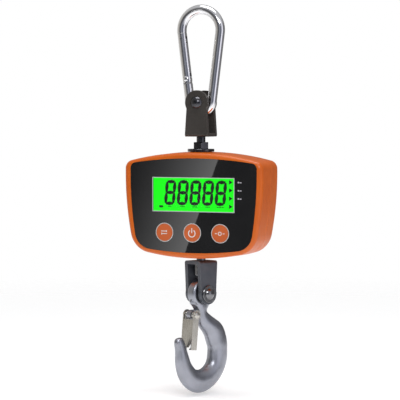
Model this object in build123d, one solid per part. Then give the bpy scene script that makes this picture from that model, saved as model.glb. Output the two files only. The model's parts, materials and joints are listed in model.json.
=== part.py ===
from build123d import *
import os
from math import asin, cos, radians, sin

os.makedirs("parts", exist_ok=True)

# A hanging crane scale, in millimetres.
# The origin is the inner crown of the lifting ring, where a crane's hook bears. +Z is up,
# -Y is the display side and +X is the right-hand side of the display.

# --- Lifting ring: one round bar bent to a pear shape, with a gate in its left leg ---
BAR_R = 4.25
CROWN_R = 18.6
FOOT_R = 10.8
CROWN_Z = BAR_R - CROWN_R
GATE_HINGE_DOWN = 41.5
TANG_THICK = 3.6
FORK_SLOT = 4.2
HINGE_HOLE_R = 1.6
RIVET_HEAD_R = 2.3
NOSE_PIN_R = 1.2
NOSE_PIN_DOWN = 5.0

# --- Pins, threads and the two clevises ---
PIN_R = 4.0
PIN_HOLE_R = 4.05
UPPER_PIN_Z = -79.1
LOWER_PIN_Z = -250.8
FOOT_Z = UPPER_PIN_Z - PIN_R - 0.05 + FOOT_R - BAR_R
BOLT_R = 4.0
BOLT_HOLE_R = 4.1
HEX_ACROSS = 13.0
NUT_CORNER_ANGLE = -7.2
BASE_THICK = 3.0
UPPER_EAR = 4.0
LOWER_EAR = 3.6
SWIVEL_HEAD_R = 6.4
SWIVEL_HEAD_HIGH = 8.0
THRUST_WASHER_THICK = 2.6
UPPER_SPAN = 22.0
UPPER_LOBE_R = 10.9
UPPER_NECK_HALF = 9.2
UPPER_FOOT_HALF = 11.2
UPPER_REACH = 30.5
LOWER_SPAN = 20.7
LOWER_LOBE_R = 9.5
LOWER_NECK_HALF = 9.0
LOWER_FOOT_HALF = 10.5
LOWER_REACH = 29.6
THRUST_WASHER_Z = LOWER_PIN_Z + LOWER_REACH - BASE_THICK - 0.15 - THRUST_WASHER_THICK
HOOK_TURN = -115.0
TOP_NUT_Z = -120.65
TOP_NUT_HIGH = 6.0
TOP_WASHER_Z = -123.1
TOP_WASHER_THICK = 2.4
LOWER_NUT_Z = -218.0
LOWER_NUT_HIGH = 4.9
UPPER_THREAD_END = -146.0
LOWER_THREAD_END = -195.0

# --- Housing ---
HOUSING_TOP = -123.2
HOUSING_BOTTOM = -218.7
HOUSING_HALF = 67.0
WIDEST_Z = -142.7
FRONT_Y = -20.5
SEAM_Y = 1.0
BACK_Y = 21.5
WALL = 2.4
DRAFT_INSET = 0.5
SEAM_BREAK = 0.35
FRONT_ROUND = 4.0
BACK_ROUND = 4.5
PANEL_THICK = 1.5
PANEL_HALF = 60.9
PANEL_SHIFT = 0.6
PANEL_Y = FRONT_Y + 0.2
PANEL_BACK_Y = PANEL_Y + PANEL_THICK
CAVITY_Y = PANEL_BACK_Y + 2.2
REAR_WALL_Y = BACK_Y - WALL

# --- Display, circuit board and keys ---
WINDOW_LEFT = -38.2
WINDOW_RIGHT = 39.9
WINDOW_TOP = -146.3
WINDOW_BOTTOM = -176.0
BOARD_Y = -11.5
BOARD_THICK = 1.6
BOARD_BACK_Y = BOARD_Y + BOARD_THICK
KEY_PITCH = 26.9
KEY_Z = -195.2
KEY_R = 7.7
BOARD_X = (-53.0, 53.0)
BOARD_Z = (-200.5, -138.8)

# --- Load cell, batteries and screws ---
CELL_TOP = -128.0
CELL_BOTTOM = -213.0
CELL_HALF = 27.0
CELL_HALF_THICK = 6.5
CELL_SCREW_X = 16.0
CELL_SCREW_Z = -134.0
BATTERY_R = 5.25
BATTERY_LENGTH = 44.5
BATTERY_PITCH = 11.2
BATTERY_Z = -176.0
BATTERY_Y = 14.2
TRAY_Y = 7.6
DOOR_HALF = 27.0
DOOR_HALF_HEIGHT = 20.0
DOOR_GAP = 0.3
UPPER_BOSS = (57.0, -141.5)
LOWER_BOSS = (49.5, -204.0)
BOARD_SCREWS = ((-49.0, -143.0), (49.0, -143.0), (-49.0, -196.5), (49.0, -196.5))

# --- Latch, drawn upright about its pivot ---
LATCH_PIVOT = (11.2, -269.5)
LATCH_TILT = -5.5
LATCH_HALF = 7.0
LATCH_SHEET = 1.0
LATCH_WEB_X = 4.2
LATCH_DEEP = 6.8
LATCH_LONG = 31.4
LUG_HALF = 2.5
RIVET_R = 1.9

# --- Hook: an eye, and a body lofted from the shoulders under the eye to the tip ---
EYE_R = 13.2
EYE_HALF_THICK = 4.8

# The body's centre line, in the hook's own plane.
# Each row is sideways place, height below the pin, width in the plane, and thickness.
HOOK_SECTIONS = (
    (0.3, 5.0, 23.2, 9.2),
    (0.9, 11.2, 18.8, 10.4),
    (0.5, 14.8, 13.6, 10.4),
    (0.0, 18.4, 12.2, 10.4),
    (-5.4, 26.4, 16.0, 12.6),
    (-14.6, 35.0, 20.8, 14.4),
    (-19.2, 45.4, 21.2, 15.2),
    (-20.0, 54.8, 20.6, 15.2),
    (-18.4, 64.4, 20.2, 15.4),
    (-14.2, 71.4, 20.0, 15.4),
    (-7.4, 76.9, 20.4, 15.6),
    (1.0, 79.6, 21.0, 15.6),
    (9.3, 78.2, 20.0, 15.0),
    (15.6, 73.6, 18.4, 14.0),
    (20.2, 66.8, 16.6, 12.8),
    (22.6, 59.6, 14.6, 11.6),
    (23.9, 52.4, 12.2, 10.0),
    (25.4, 46.0, 10.8, 8.4),
    (26.6, 42.0, 9.8, 7.6),
    (27.2, 40.0, 8.0, 6.4),
    (27.5, 38.9, 4.6, 3.8),
)


def save(node, part):
    """Write one node's solids to its own file."""
    export_step(part, f"parts/{node}.step")


def group(solids):
    """Several like pieces that share one node."""
    return Compound(children=list(solids))


def side_slab(sketch, y_from, y_to):
    """A sketch drawn in X and Z, made solid between two depths."""
    plane = Plane(origin=(0, y_to, 0), x_dir=(1, 0, 0), z_dir=(0, -1, 0))
    return extrude(plane * sketch, amount=y_to - y_from)


def block(x, y, z):
    """A box between three pairs of limits."""
    size = [pair[1] - pair[0] for pair in (x, y, z)]
    middle = [(pair[0] + pair[1]) / 2 for pair in (x, y, z)]
    return Pos(*middle) * Box(*size)


def rod_x(radius, x_from, x_to, y, z):
    """A round rod along X."""
    return Pos((x_from + x_to) / 2, y, z) * Rot(0, 90, 0) * Cylinder(radius, x_to - x_from)


def rod_y(radius, y_from, y_to, x, z):
    """A round rod along Y."""
    return Pos(x, (y_from + y_to) / 2, z) * Rot(90, 0, 0) * Cylinder(radius, y_to - y_from)


def rod_z(radius, z_from, z_to, x=0.0, y=0.0):
    """A round rod along Z."""
    return Pos(x, y, (z_from + z_to) / 2) * Cylinder(radius, z_to - z_from)


def turned(points):
    """A solid of revolution about Z from a half section of (radius, height) points."""
    return revolve(Plane.XZ * Polygon(*points, align=None), Axis.Z)


def dome_head(radius, height, rim):
    """A domed rivet head that stands on z = 0."""
    rise = height - rim
    ball = (radius ** 2 + rise ** 2) / (2 * rise)
    half_turn = asin(radius / ball) / 2
    shoulder = (ball * sin(half_turn), height - ball + ball * cos(half_turn))
    profile = Polyline((0, height), (0, 0), (radius, 0), (radius, rim))
    dome = ThreePointArc((radius, rim), shoulder, (0, height))
    return revolve(Plane.XZ * make_face(profile + dome), Axis.Z)


def hex_prism(height, corner_angle):
    """A hexagon with bevelled corners that stands on z = 0."""
    across_corners = HEX_ACROSS / cos(radians(30))
    prism = extrude(Rot(0, 0, corner_angle) * RegularPolygon(across_corners / 2, 6), amount=height)
    bevel = 0.9
    outer = across_corners / 2 + 0.1
    round_r = HEX_ACROSS / 2 - 0.1
    lower_rim = ((0, 0), (round_r, 0), (outer, bevel))
    upper_rim = ((outer, height - bevel), (round_r, height), (0, height))
    barrel = turned(lower_rim + upper_rim)
    return prism & barrel


def thread_rod(z_from, z_to, pitch=1.25, depth=0.55):
    """A rod whose surface has one V groove for each turn of its thread."""
    turns = int((z_to - z_from) / pitch)
    points = [(0, z_from), (BOLT_R - depth, z_from)]
    for turn in range(turns):
        root = z_from + turn * pitch
        points.append((BOLT_R, root + 0.5 * pitch))
        points.append((BOLT_R - depth, root + pitch))
    points.append((BOLT_R - depth, z_to))
    points.append((0, z_to))
    return turned(points)


def washer(outer_r, hole_r, thick):
    """A flat washer that stands on z = 0, its rim slightly eased."""
    ring = extrude(Circle(outer_r) - Circle(hole_r), amount=thick)
    rims = ring.edges().filter_by(GeomType.CIRCLE)
    return chamfer([rim for rim in rims if rim.radius > outer_r - 0.01], 0.3)


def coil(mean_r, wire_r, pitch, height):
    """A coil of round wire about Z that starts at z = 0."""
    path = Helix(pitch, height, mean_r)
    return sweep(Plane(origin=path @ 0, z_dir=path % 0) * Circle(wire_r), path=path, is_frenet=True)


# ---------------------------------------------------------------------------
# Lifting ring
# ---------------------------------------------------------------------------

LEG_TILT = asin((CROWN_R - FOOT_R) / (CROWN_Z - FOOT_Z))
LEG_TOP = (-CROWN_R * cos(LEG_TILT), 0, CROWN_Z - CROWN_R * sin(LEG_TILT))
LEG_FRAME = Plane(
    origin=LEG_TOP,
    x_dir=(cos(LEG_TILT), 0, sin(LEG_TILT)),
    z_dir=(-sin(LEG_TILT), 0, cos(LEG_TILT)),
).location


def ring_bar():
    """The bent bar, from the stub under the gate's hinge round to the nose over it."""
    side = cos(LEG_TILT)
    drop = sin(LEG_TILT)
    stub = (LEG_FRAME * Pos(0, 0, -GATE_HINGE_DOWN - BAR_R - 0.4)).position
    foot_left = (-FOOT_R * side, 0, FOOT_Z - FOOT_R * drop)
    foot_right = (FOOT_R * side, 0, FOOT_Z - FOOT_R * drop)
    crown_right = (CROWN_R * side, 0, CROWN_Z - CROWN_R * drop)
    path = Wire([
        Edge.make_line(stub, foot_left),
        Edge.make_three_point_arc(foot_left, (0, 0, FOOT_Z - FOOT_R), foot_right),
        Edge.make_line(foot_right, crown_right),
        Edge.make_three_point_arc(crown_right, (0, 0, CROWN_Z + CROWN_R), LEG_TOP),
    ])
    start = Plane(origin=path @ 0, z_dir=path % 0)
    return sweep(start * Circle(BAR_R), path=path)


def ring_body():
    """The bar with a flat tang at each end of the gate's opening."""
    half = TANG_THICK / 2
    hinge = -GATE_HINGE_DOWN
    lobe = Pos(0, hinge) * Circle(half * 2)
    hinge_tang = lobe + Pos(0, hinge - 3.5) * Rectangle(TANG_THICK * 2, 7)
    nose_tang = Pos(0, -4) * Rectangle(TANG_THICK * 2, 9.6)
    notch = Pos(0, -NOSE_PIN_DOWN) * Circle(NOSE_PIN_R + 0.4)
    notch += Pos(4, -NOSE_PIN_DOWN) * Rectangle(8, 2 * NOSE_PIN_R + 0.8)
    tangs = side_slab(hinge_tang, -half, half)
    tangs += side_slab(nose_tang - notch, -half, half)
    tangs -= rod_y(HINGE_HOLE_R, -half - 1, half + 1, 0, hinge)
    return ring_bar() + LEG_FRAME * tangs


def ring_gate():
    """A round bar forked at both ends: over the hinge tang below and the nose tang above."""
    hinge = -GATE_HINGE_DOWN
    outline = Pos(0, hinge) * Circle(BAR_R) + Pos(0, hinge / 2 - 0.25) * Rectangle(2 * BAR_R, -hinge - 0.5)
    gate = rod_z(BAR_R, hinge - BAR_R, -0.5) & side_slab(outline, -BAR_R - 1, BAR_R + 1)
    slot = FORK_SLOT / 2
    gate -= block((-6, 6), (-slot, slot), (-10.2, 1))
    gate -= block((-6, 6), (-slot, slot), (hinge - 6, hinge + 4.8))
    gate -= rod_y(HINGE_HOLE_R + 0.05, -6, 6, 0, hinge)
    for near, far in ((-6, -BAR_R + 0.9), (BAR_R - 0.9, 6)):
        gate -= rod_y(RIVET_HEAD_R + 0.05, near, far, 0, hinge)
    gate -= rod_y(NOSE_PIN_R, -6, 6, 0, -NOSE_PIN_DOWN)
    gate -= rod_z(2.0, hinge + 4.0, hinge + 15.5)
    return LEG_FRAME * gate


def gate_rivet():
    """The gate's hinge rivet, its two heads sunk into the bar."""
    seat = BAR_R - 0.85
    head = dome_head(RIVET_HEAD_R, 0.95, 0.3)
    rivet = rod_y(HINGE_HOLE_R, -seat - 0.1, seat + 0.1, 0, 0)
    rivet += Pos(0, -seat, 0) * Rot(90, 0, 0) * head
    rivet += Pos(0, seat, 0) * Rot(-90, 0, 0) * head
    return LEG_FRAME * Pos(0, 0, -GATE_HINGE_DOWN) * rivet


def gate_nose_pin():
    """The cross pin in the gate's upper fork that catches in the nose."""
    return LEG_FRAME * rod_y(NOSE_PIN_R, -4.0, 4.0, 0, -NOSE_PIN_DOWN)


def gate_spring():
    """The coil inside the gate that pushes on the hinge tang."""
    return LEG_FRAME * Pos(0, 0, -GATE_HINGE_DOWN + 5.2) * coil(1.5, 0.3, 1.4, 9.8)


# ---------------------------------------------------------------------------
# Clevises and their pins
# ---------------------------------------------------------------------------

def clevis(span, ear_thick, lobe_r, neck_half, foot_half, reach):
    """A U bracket about a pin at the origin, its base underneath and its ears facing Y."""
    corners = ((-neck_half, 0), (-foot_half, -reach), (foot_half, -reach), (neck_half, 0))
    ear = Circle(lobe_r) + Polygon(*corners, align=None)
    half = span / 2
    body = side_slab(ear, -half, half)
    underside = body.faces().sort_by(Axis.Z)[0]
    body = fillet(underside.edges().filter_by(Axis.X), 2.2)
    inner = half - ear_thick
    gap = block((-20, 20), (-inner, inner), (-reach + BASE_THICK, lobe_r + 4))
    floor = gap.faces().sort_by(Axis.Z)[0]
    body -= fillet(floor.edges().filter_by(Axis.X), 0.5)
    body -= rod_z(BOLT_HOLE_R, -reach - 1, -reach + BASE_THICK + 1)
    body -= rod_y(PIN_HOLE_R, -half - 1, half + 1, 0, 0)
    return body


def upper_clevis():
    return Pos(0, 0, UPPER_PIN_Z) * clevis(
        UPPER_SPAN, UPPER_EAR, UPPER_LOBE_R, UPPER_NECK_HALF, UPPER_FOOT_HALF, UPPER_REACH)


def upper_pin():
    """The clevis pin that carries the ring: domed head in front, grooved tail behind."""
    half = UPPER_SPAN / 2
    tail = half + 3.6
    pin = rod_y(PIN_R, -half - 0.1, tail, 0, 0)
    groove = rod_y(PIN_R + 1, half + 1.45, half + 2.45, 0, 0) - rod_y(3.1, half, tail, 0, 0)
    pin -= groove
    pin += Pos(0, -half - 0.05, 0) * Rot(90, 0, 0) * dome_head(5.3, 3.3, 0.6)
    return Pos(0, 0, UPPER_PIN_Z) * pin


def upper_pin_washer():
    return Pos(0, UPPER_SPAN / 2 + 0.05, UPPER_PIN_Z) * Rot(-90, 0, 0) * washer(7.0, PIN_HOLE_R, 1.2)


def upper_pin_clip():
    """An E-shaped retaining ring in the pin's groove."""
    plate = Circle(6.4) - Circle(3.1) - Pos(0, -5) * Rectangle(5.2, 10)
    plate -= Pos(4.4, 1.2) * Circle(1.0)
    plate -= Pos(-4.4, 1.2) * Circle(1.0)
    half = UPPER_SPAN / 2
    return Pos(0, 0, UPPER_PIN_Z) * side_slab(plate, half + 1.5, half + 2.4)


def suspension_bolt():
    """M8 bolt: its head inside the upper clevis, its thread down into the load cell."""
    seat = UPPER_PIN_Z - UPPER_REACH + BASE_THICK
    bolt = Pos(0, 0, seat) * hex_prism(5.4, 0)
    shank_end = TOP_NUT_Z + TOP_NUT_HIGH - 0.5
    return bolt + rod_z(BOLT_R, shank_end, seat + 0.5) + thread_rod(UPPER_THREAD_END, shank_end + 0.1)


def jam_nut(z_low, height):
    """A hexagon nut on the M8 thread."""
    return Pos(0, 0, z_low) * (hex_prism(height, NUT_CORNER_ANGLE) - rod_z(BOLT_HOLE_R, -1, height + 1))


def lower_clevis():
    """The same bracket upside down, turned to face the hook."""
    bracket = Rot(180, 0, 0) * clevis(
        LOWER_SPAN, LOWER_EAR, LOWER_LOBE_R, LOWER_NECK_HALF, LOWER_FOOT_HALF, LOWER_REACH)
    return Rot(0, 0, HOOK_TURN) * Pos(0, 0, LOWER_PIN_Z) * bracket


def lower_pin():
    """The hook's pin: a forged head at one end, peened over a washer at the other."""
    half = LOWER_SPAN / 2
    pin = rod_y(PIN_R, -half - 0.1, half + 1.6, 0, 0)
    pin += Pos(0, -half - 0.05, 0) * Rot(90, 0, 0) * dome_head(5.6, 3.4, 0.8)
    pin += Pos(0, half + 1.5, 0) * Rot(-90, 0, 0) * dome_head(5.0, 2.8, 0.5)
    return Rot(0, 0, HOOK_TURN) * Pos(0, 0, LOWER_PIN_Z) * pin


def lower_pin_washer():
    ring = Pos(0, LOWER_SPAN / 2 + 0.05, LOWER_PIN_Z) * Rot(-90, 0, 0) * washer(7.8, PIN_HOLE_R, 1.4)
    return Rot(0, 0, HOOK_TURN) * ring


def swivel_bolt():
    """M8 bolt: a round socket head that turns between the ears, and a thread up into the cell."""
    shank_top = LOWER_PIN_Z + LOWER_REACH + 2.0
    seat = THRUST_WASHER_Z - 0.05
    end = seat - SWIVEL_HEAD_HIGH
    head = rod_z(SWIVEL_HEAD_R, end, seat)
    head = fillet(head.faces().sort_by(Axis.Z)[0].edges(), 1.2)
    head -= Pos(0, 0, end - 0.1) * extrude(RegularPolygon(3.4, 6), amount=4.0)
    return head + rod_z(BOLT_R, seat - 0.5, shank_top) + thread_rod(shank_top - 0.1, LOWER_THREAD_END)


def thrust_washer():
    return Pos(0, 0, THRUST_WASHER_Z) * washer(SWIVEL_HEAD_R, BOLT_HOLE_R, THRUST_WASHER_THICK)


# ---------------------------------------------------------------------------
# Housing
# ---------------------------------------------------------------------------

def bowed_outline(top_z, bottom_z, half_width, bows, corners, inset=0.0):
    """Four long arcs joined by rounded corners, drawn in X and Z.

    bows are the arcs' radii at the top, sides and bottom; corners are the upper and
    lower corner radii; inset moves the whole outline inwards.
    """
    top_bow, side_bow, bottom_bow = bows
    shape = Pos(0, top_z - top_bow) * Circle(top_bow - inset)
    shape &= Pos(0, bottom_z + bottom_bow) * Circle(bottom_bow - inset)
    shape &= Pos(half_width - side_bow, WIDEST_Z) * Circle(side_bow - inset)
    shape &= Pos(side_bow - half_width, WIDEST_Z) * Circle(side_bow - inset)
    shape = fillet(shape.vertices().sort_by(Axis.Y)[-2:], corners[0] - inset)
    lowest = shape.vertices().sort_by(Axis.Y)[:2]
    return fillet(lowest, corners[1] - inset)


def housing_outline(inset=0.0):
    return bowed_outline(HOUSING_TOP, HOUSING_BOTTOM, HOUSING_HALF, (257, 288, 232), (8.0, 21.5), inset)


def panel_outline(inset=0.0):
    outline = bowed_outline(-128.8, -213.2, PANEL_HALF, (400, 343, 330), (5.0, 16.0), inset)
    return Pos(PANEL_SHIFT, 0) * outline


def half_case(y_end):
    """One half of the case as a solid: it narrows away from the seam.

    The seam's own edge is broken, so that the two halves meet in a fine groove.
    """
    away = 1 if y_end > SEAM_Y else -1
    stations = (
        (SEAM_Y, SEAM_BREAK),
        (SEAM_Y + away * SEAM_BREAK, 0.0),
        (y_end, DRAFT_INSET),
    )
    sections = []
    for y, inset in stations:
        plane = Plane(origin=(0, y, 0), x_dir=(1, 0, 0), z_dir=(0, -1, 0))
        sections.append(plane * housing_outline(inset))
    return loft(sections, ruled=True)


def on_both_sides(place):
    """One point and its mirror image across the middle."""
    return ((place[0], place[1]), (-place[0], place[1]))


def front_shell():
    """The display half: a wall behind the panel, key and display openings, and screw posts."""
    outer = half_case(FRONT_Y)
    outer = fillet(outer.faces().sort_by(Axis.Y)[0].edges(), FRONT_ROUND)
    inner = side_slab(housing_outline(WALL), CAVITY_Y, SEAM_Y + 1)
    shell = outer - inner
    shell -= side_slab(panel_outline(-0.1), FRONT_Y - 1, PANEL_BACK_Y)
    window = (WINDOW_LEFT - 0.8, WINDOW_RIGHT + 0.8)
    shell -= block(window, (FRONT_Y, CAVITY_Y + 1), (WINDOW_BOTTOM - 1.4, WINDOW_TOP + 1.4))
    for key in (-1, 0, 1):
        shell -= rod_y(KEY_R + 0.3, FRONT_Y, CAVITY_Y + 1, key * KEY_PITCH, KEY_Z)
    for x, z in on_both_sides(UPPER_BOSS) + on_both_sides(LOWER_BOSS):
        shell += rod_y(3.2, CAVITY_Y - 0.5, SEAM_Y - 0.1, x, z)
        shell -= rod_y(1.3, CAVITY_Y + 2, SEAM_Y + 1, x, z)
    for x, z in BOARD_SCREWS:
        shell += rod_y(2.6, CAVITY_Y - 0.5, BOARD_Y, x, z)
        shell -= rod_y(1.0, CAVITY_Y + 0.6, BOARD_Y + 1, x, z)
    shell -= rod_z(5.0, HOUSING_TOP - 6, HOUSING_TOP + 3)
    shell -= rod_z(8.5, HOUSING_BOTTOM - 3, HOUSING_BOTTOM + 6)
    return shell


def rear_shell():
    """The back half: battery opening, screw columns, and two posts that carry the load cell."""
    outer = half_case(BACK_Y)
    outer = fillet(outer.faces().sort_by(Axis.Y)[-1].edges(), BACK_ROUND)
    inner = side_slab(housing_outline(WALL), SEAM_Y - 1, REAR_WALL_Y)
    shell = outer - inner
    opening = Pos(0, BATTERY_Z) * RectangleRounded(2 * DOOR_HALF, 2 * DOOR_HALF_HEIGHT, 2.5)
    shell -= side_slab(opening, REAR_WALL_Y - 1, BACK_Y + 1)
    for x, z in on_both_sides(UPPER_BOSS) + on_both_sides(LOWER_BOSS):
        shell += rod_y(3.4, SEAM_Y + 0.1, REAR_WALL_Y + 0.5, x, z)
        shell -= rod_y(1.7, SEAM_Y - 1, BACK_Y + 1, x, z)
        shell -= rod_y(2.8, 8.0, BACK_Y + 1, x, z)
    for x, z in on_both_sides((CELL_SCREW_X, CELL_SCREW_Z)):
        shell += rod_y(4.0, CELL_HALF_THICK + 0.05, REAR_WALL_Y + 0.5, x, z)
        shell -= rod_y(1.7, CELL_HALF_THICK - 1, REAR_WALL_Y - 2, x, z)
    shell -= rod_z(5.0, HOUSING_TOP - 6, HOUSING_TOP + 3)
    shell -= rod_z(8.5, HOUSING_BOTTOM - 3, HOUSING_BOTTOM + 6)
    return shell


def housing_screws():
    """Four long screws driven from the back."""
    screws = []
    for x, z in on_both_sides(UPPER_BOSS) + on_both_sides(LOWER_BOSS):
        head = rod_y(2.6, 8.05, 10.2, x, z)
        cross = block((x - 1.7, x + 1.7), (9.1, 10.4), (z - 0.35, z + 0.35))
        cross += block((x - 0.35, x + 0.35), (9.1, 10.4), (z - 1.7, z + 1.7))
        screws.append(head - cross + rod_y(1.25, -9.0, 8.2, x, z))
    return group(screws)


def front_panel():
    """The black front sheet, cut out for the display and three keys."""
    panel = side_slab(panel_outline(), PANEL_Y, PANEL_BACK_Y)
    panel -= block((WINDOW_LEFT, WINDOW_RIGHT), (FRONT_Y - 1, CAVITY_Y), (WINDOW_BOTTOM, WINDOW_TOP))
    for key in (-1, 0, 1):
        panel -= rod_y(KEY_R + 0.2, FRONT_Y - 1, CAVITY_Y, key * KEY_PITCH, KEY_Z)
    return panel


def display_window():
    """The clear pane, flush in the panel."""
    edge = 0.05
    x = (WINDOW_LEFT + edge, WINDOW_RIGHT - edge)
    return block(x, (PANEL_Y, PANEL_BACK_Y), (WINDOW_BOTTOM + edge, WINDOW_TOP - edge))


def key_cap(index):
    """A round key: a cap through the panel, a flange behind the wall, and a stem."""
    x = index * KEY_PITCH
    cap = rod_y(KEY_R, FRONT_Y - 0.7, CAVITY_Y + 0.3, x, KEY_Z)
    cap = fillet(cap.faces().sort_by(Axis.Y)[0].edges(), 0.5)
    cap += rod_y(KEY_R + 1.2, CAVITY_Y + 0.1, CAVITY_Y + 1.1, x, KEY_Z)
    return cap + rod_y(2.2, CAVITY_Y + 1.0, BOARD_Y - 3.4, x, KEY_Z)


def switch_plunger(index):
    """The push switch's round button under the key's stem."""
    return rod_y(1.6, BOARD_Y - 3.4, BOARD_Y - 1.2, index * KEY_PITCH, KEY_Z)


def push_switches():
    """Three square push switches on the board."""
    bodies = []
    for key in (-1, 0, 1):
        x = key * KEY_PITCH
        body = block((x - 3, x + 3), (BOARD_Y - 2.4, BOARD_Y), (KEY_Z - 3, KEY_Z + 3))
        bodies.append(body - rod_y(1.66, BOARD_Y - 3, BOARD_Y - 0.4, x, KEY_Z))
    return group(bodies)


# ---------------------------------------------------------------------------
# Display and electronics
# ---------------------------------------------------------------------------

def display_glass():
    """The liquid-crystal cell behind the pane."""
    x = (WINDOW_LEFT - 0.6, WINDOW_RIGHT + 0.6)
    return block(x, (PANEL_BACK_Y + 0.1, PANEL_BACK_Y + 2.3), (WINDOW_BOTTOM - 1.2, WINDOW_TOP + 1.2))


def display_backlight():
    """The lit plate behind the glass, between the two contact strips."""
    x = (WINDOW_LEFT + 2.0, WINDOW_RIGHT - 2.0)
    return block(x, (PANEL_BACK_Y + 2.35, BOARD_Y - 0.1), (WINDOW_BOTTOM + 2.2, WINDOW_TOP - 2.2))


def display_holder():
    """The frame that clips the glass and its light to the board."""
    outer_x = (WINDOW_LEFT - 4.0, WINDOW_RIGHT + 4.0)
    inner_x = (WINDOW_LEFT - 0.9, WINDOW_RIGHT + 0.9)
    outer = block(outer_x, (CAVITY_Y + 0.1, BOARD_Y - 0.05), (WINDOW_BOTTOM - 4, WINDOW_TOP + 4))
    return outer - block(inner_x, (CAVITY_Y - 1, BOARD_Y + 1), (WINDOW_BOTTOM - 1.5, WINDOW_TOP + 1.5))


def contact_strips():
    """Two elastomer strips that join the glass to the board."""
    strips = []
    for z in (WINDOW_TOP - 0.4, WINDOW_BOTTOM + 0.4):
        strips.append(block((-36, 36), (PANEL_BACK_Y + 2.35, BOARD_Y - 0.05), (z - 1.2, z + 1.2)))
    return group(strips)


def main_board():
    """The circuit board on the front shell's four posts."""
    board = block(BOARD_X, (BOARD_Y, BOARD_BACK_Y), BOARD_Z)
    for x, z in BOARD_SCREWS:
        board -= rod_y(1.3, BOARD_Y - 1, BOARD_BACK_Y + 1, x, z)
    return board


def board_screws():
    """Four small screws through the board's corners."""
    screws = []
    for x, z in BOARD_SCREWS:
        shank = rod_y(0.98, BOARD_Y - 3.2, BOARD_BACK_Y + 0.2, x, z)
        screws.append(shank + rod_y(2.0, BOARD_BACK_Y + 0.02, BOARD_BACK_Y + 1.4, x, z))
    return group(screws)


def board_components():
    """Processor, converter, capacitors, sounder and two lead sockets on the board's back."""
    y = BOARD_BACK_Y
    parts = [
        block((-7, 7), (y, y + 1.4), (-173, -159)),
        block((13, 23), (y, y + 1.6), (-170, -166)),
        block((-24, -14), (y, y + 1.2), (-168, -164)),
        rod_y(2.5, y, y + 5.0, 43.0, -180.0),
        rod_y(2.5, y, y + 5.0, 43.0, -187.0),
        rod_y(6.0, y, y + 6.0, -42.0, -186.0),
        block((34, 42), (y, y + 5.0), (-158, -151)),
        block((-42, -34), (y, y + 5.0), (-158, -151)),
    ]
    for step in range(6):
        x = -20.0 + 8.0 * step
        parts.append(block((x - 1.0, x + 1.0), (y, y + 0.8), (-181.0, -179.8)))
    return group(parts)


# ---------------------------------------------------------------------------
# Load cell and its lead
# ---------------------------------------------------------------------------

def load_cell():
    """An S-shaped beam, threaded at both ends, with its strain gauges in the middle window."""
    x = (-CELL_HALF, CELL_HALF)
    y = (-CELL_HALF_THICK, CELL_HALF_THICK)
    cell = block(x, y, (CELL_BOTTOM, CELL_TOP))
    cell = fillet(cell.edges().filter_by(Axis.Y), 3.0)
    middle = (CELL_TOP + CELL_BOTTOM) / 2
    slot_y = (y[0] - 1, y[1] + 1)
    cell -= block((-CELL_HALF - 1, 17), slot_y, (middle + 20, middle + 23))
    cell -= block((-17, CELL_HALF + 1), slot_y, (middle - 23, middle - 20))
    window = Pos(0, middle) * SlotCenterToCenter(12, 16)
    cell -= side_slab(window, *slot_y)
    cell -= rod_z(BOLT_R + 0.05, CELL_TOP - 19, CELL_TOP + 1)
    cell -= rod_z(BOLT_R + 0.05, CELL_BOTTOM - 1, CELL_BOTTOM + 19)
    for side in (-CELL_SCREW_X, CELL_SCREW_X):
        cell -= rod_y(1.7, slot_y[0], slot_y[1], side, CELL_SCREW_Z)
    return cell


def cell_screws():
    """Two screws through the load cell's fixed arm into the rear shell's posts."""
    screws = []
    face = -CELL_HALF_THICK - 0.02
    for side in (-CELL_SCREW_X, CELL_SCREW_X):
        shank = rod_y(1.65, face - 0.3, CELL_HALF_THICK + 9.0, side, CELL_SCREW_Z)
        screws.append(shank + rod_y(3.2, face - 2.2, face, side, CELL_SCREW_Z))
    return group(screws)


def strain_gauges():
    """Four foil gauges bonded to the flat walls of the beam's window."""
    middle = (CELL_TOP + CELL_BOTTOM) / 2
    gauges = []
    for side in (-3.6, 3.6):
        for wall, thick in ((8.0, -0.2), (-8.0, 0.2)):
            z = sorted((middle + wall, middle + wall + thick))
            gauges.append(block((side - 2.6, side + 2.6), (-2.0, 2.0), z))
    return group(gauges)


def gauge_covers():
    """Thin plates that close the window on both faces of the beam."""
    middle = (CELL_TOP + CELL_BOTTOM) / 2
    outline = Pos(0, middle) * SlotCenterToCenter(14, 19)
    covers = []
    for near, far in ((-CELL_HALF_THICK - 0.8, -CELL_HALF_THICK), (CELL_HALF_THICK, CELL_HALF_THICK + 0.8)):
        covers.append(side_slab(outline, near, far))
    return group(covers)


def lead(points, radii, radius):
    """A round lead along straight runs joined by tangent arcs."""
    path = FilletPolyline(*points, radius=radii)
    tube = sweep(Plane(origin=path @ 0, z_dir=path % 0) * Circle(radius), path=path)
    print("lead: length", round(path.length, 1), "radii", radii)
    return tube


def load_cell_lead():
    """The four-core lead from the beam's side up to its socket on the board."""
    points = ((CELL_HALF, 0, -172), (38, 0, -172), (38, -7.4, -166), (38, -7.4, -158))
    return lead(points, [4.2, 4.2], 1.3)


def battery_lead():
    """The twin lead from the battery tray round to its socket on the board."""
    points = ((-28.5, 12, -180), (-38, 12, -180), (-38, 2, -176), (-38, -7.4, -168), (-38, -7.4, -158))
    return lead(points, [4.2, 5.0, 5.0], 1.1)


# ---------------------------------------------------------------------------
# Batteries
# ---------------------------------------------------------------------------

def battery_places():
    """Heights of the three cells."""
    return [BATTERY_Z + step * BATTERY_PITCH for step in (-1, 0, 1)]


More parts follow.
